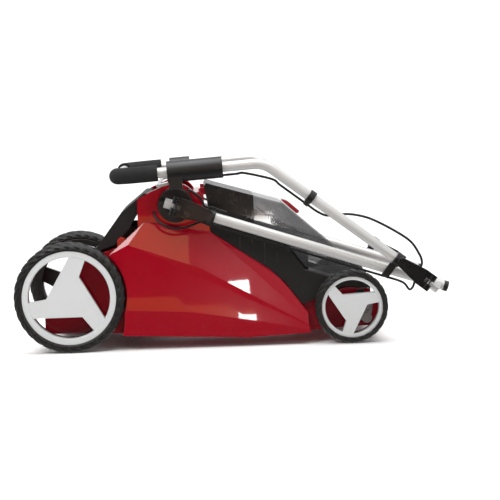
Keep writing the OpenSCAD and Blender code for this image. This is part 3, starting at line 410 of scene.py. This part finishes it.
def make_tyre(node, x, radius, width, side, body, pitches, per=14):
    """A tyre whose shoulders and crown are cut by slanting grooves, in that many pitches of per steps."""
    lo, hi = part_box(node)
    near = lo.y if side < 0 else hi.y
    half = width / 2
    sect = tyre_section(radius, width)
    steps = pitches * per
    verts, faces = [], []
    for i in range(steps):
        a = 2 * math.pi * i / steps
        for y, r, d in sect:
            lean = 0.6 * abs(y - half) / half + 1.15 * (radius - r) / SHOULDER
            phase = (i / per + lean) % 1.0
            cut = min(1.0, max(0.0, (GROOVE_SHARE - abs(phase - 0.5)) / GROOVE_EDGE))
            depth = GROOVE_DEPTH * d * cut
            rr = r - depth * min(1.0, 0.35 + (r - radius + SHOULDER) / SHOULDER)
            if r > radius - SHOULDER:
                y = min(max(y, depth * 0.75), width - depth * 0.75)
            verts.append(Vector((REAR_X + (x + rr * math.cos(a)) * MM, near - side * (width - y) * MM,
                                 (radius + rr * math.sin(a)) * MM)))
    n = len(sect)
    for i in range(steps):
        j = (i + 1) % steps
        for k in range(n):
            m = (k + 1) % n
            faces.append((i * n + k, i * n + m, j * n + m, j * n + k))
    obj = piece("tread_" + node[5:], verts, faces, "tyre", body)
    bm = bmesh.new()
    bm.from_mesh(obj.data)
    bmesh.ops.recalc_face_normals(bm, faces=bm.faces)
    bm.to_mesh(obj.data)
    bm.free()
    obj.data.set_sharp_from_angle(angle=math.radians(38))
    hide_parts(node)


HUB_DEPTH = 16.5  # the pale moulding's depth, and behind it the hub is black


def make_hub(node, width, body):
    """A copy of a CAD hub with its sharp edges bevelled, and with a black inner side."""
    bm = bmesh.new()
    bm.from_mesh(nodes[node].data)
    bm.transform(nodes[node].matrix_world)
    bmesh.ops.remove_doubles(bm, verts=bm.verts, dist=2e-6)
    bmesh.ops.dissolve_limit(bm, angle_limit=math.radians(0.6), verts=bm.verts, edges=bm.edges)
    sharp = [e for e in bm.edges if len(e.link_faces) == 2 and e.calc_face_angle(0.0) > math.radians(40)]
    bmesh.ops.bevel(bm, geom=sharp, offset=width * MM, offset_type="OFFSET", segments=1, profile=0.5,
                    affect="EDGES", clamp_overlap=True)
    bmesh.ops.recalc_face_normals(bm, faces=bm.faces)
    mesh = bpy.data.meshes.new("soft_" + node)
    bm.to_mesh(mesh)
    bm.free()
    mesh.polygons.foreach_set("use_smooth", [True] * len(mesh.polygons))
    mesh.set_sharp_from_angle(angle=math.radians(30))
    mesh.materials.append(finishes["hub"])
    mesh.materials.append(finishes["black"])
    lo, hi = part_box(node)
    for face in mesh.polygons:
        y = face.center.y
        from_outside = y - lo.y if lo.y + hi.y < 0 else hi.y - y
        face.material_index = int(from_outside > HUB_DEPTH * MM)
    obj = bpy.data.objects.new("soft_" + node, mesh)
    scene.collection.objects.link(obj)
    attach(obj, body)
    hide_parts(node)


make_cables()
for hand in ("right", "left"):
    make_hub("hub_rear_" + hand, 4.2, "wheel_rear_" + hand)
    make_hub("hub_front_" + hand, 3.2, "wheel_front_" + hand)
for end, x, radius, width, pitches in (("rear", 0, REAR_RADIUS, REAR_WIDTH, 32),
                                       ("front", WHEELBASE, FRONT_RADIUS, FRONT_WIDTH, 24)):
    for hand, side in (("right", -1), ("left", 1)):
        make_tyre(f"tyre_{end}_{hand}", x, radius, width, side, f"wheel_{end}_{hand}", pitches)


# ---------- stage ----------
def make_stage():
    """Pale paper that lies under the mower and curves up behind it."""
    verts, faces = [], []
    turn, radius, half = 1.6, 1.2, 7
    rows = [(-6.0, 0.0), (turn, 0.0)]
    rows += [(turn + radius * math.sin(math.radians(a)), radius - radius * math.cos(math.radians(a)))
             for a in range(6, 91, 6)]
    rows += [(turn + radius, 6.0)]
    for y, z in rows:
        verts += [Vector((-half, y, z)), Vector((half, y, z))]
    for i in range(len(rows) - 1):
        faces.append((2 * i, 2 * i + 1, 2 * i + 3, 2 * i + 2))
    s = Shader("studio_paper")
    s.link(s.mix(s.ramp(s.noise(3.0, 3.0), 0.3, 0.7), (0.90, 0.90, 0.895), (0.87, 0.87, 0.87)),
           s.p.inputs["Base Color"])
    s.p.inputs["Roughness"].default_value = 0.9
    s.p.inputs["Specular IOR Level"].default_value = 0.1
    finishes["paper"] = s.m
    floor = piece("floor", verts, faces, "paper", None)
    floor.visible_glossy = False


def area(name, place, target, size, energy, size_y=None, color=(1, 1, 1)):
    """An area light that points at a target and isn't seen itself."""
    data = bpy.data.lights.new(name, "AREA")
    data.shape = "RECTANGLE"
    data.size = size
    data.size_y = size_y or size
    data.energy = energy
    data.color = color
    obj = bpy.data.objects.new(name, data)
    scene.collection.objects.link(obj)
    obj.visible_camera = False
    obj.location = place
    obj.rotation_euler = (Vector(target) - Vector(place)).to_track_quat("-Z", "Y").to_euler()
    return obj


def graded(nt, value, low, high, a, b):
    """Maps a value from low..high to a..b."""
    n = nt.nodes.new("ShaderNodeMapRange")
    n.inputs["From Min"].default_value = low
    n.inputs["From Max"].default_value = high
    n.inputs["To Min"].default_value = a
    n.inputs["To Max"].default_value = b
    nt.links.new(value, n.inputs["Value"])
    return n.outputs["Result"]


def make_light():
    """A world that is dark before the mower and pale behind and above it, with soft and small area lights."""
    world = bpy.data.worlds.new("studio")
    scene.world = world
    world.use_nodes = True
    nt = world.node_tree
    bg = nt.nodes["Background"]
    co = nt.nodes.new("ShaderNodeTexCoord")
    sep = nt.nodes.new("ShaderNodeSeparateXYZ")
    nt.links.new(co.outputs["Generated"], sep.inputs[0])
    depth = graded(nt, sep.outputs["Y"], -0.75, 0.35, 0.03, 0.85)
    rise = graded(nt, sep.outputs["Z"], 0.15, 0.9, 0.0, 0.9)
    most = nt.nodes.new("ShaderNodeMath")
    most.operation = "MAXIMUM"
    nt.links.new(depth, most.inputs[0])
    nt.links.new(rise, most.inputs[1])
    nt.links.new(most.outputs[0], bg.inputs["Strength"])
    bg.inputs["Color"].default_value = (1, 1, 1, 1)
    area("top", (0.2, -0.5, 2.6), (0, 0, 0.2), 2.2, 40)
    area("front_left", (-1.5, -1.95, 2.3), (-0.1, 0, 0.2), 1.2, 44)
    area("front_right", (2.4, -3.0, 1.0), (0, 0, 0.2), 1.0, 14)
    # small boxes and warm panels that show as reflections in the deck's side
    area("box_upper", (0.674, -3.0, 1.10), (0.015, -0.17, 0.147), 0.085, 1.8, 0.13)
    area("box_lower", (0.19, -3.0, 0.03), (0.022, -0.177, 0.07), 0.085, 1.4, 0.12)
    area("warm_side", (-0.08, -3.0, 0.03), (-0.1, -0.175, 0.12), 0.62, 0.6, 0.16, (1.0, 0.36, 0.08))
    area("warm_strip", (0.12, -3.0, 1.15), (-0.15, -0.167, 0.21), 0.5, 2.2, 0.6, (1.0, 0.5, 0.2))
    area("wall_wash", (0, 0.6, 2.9), (0, 2.8, 0.9), 3.5, 60)


make_stage()
make_light()
scene.view_settings.view_transform = "Standard"
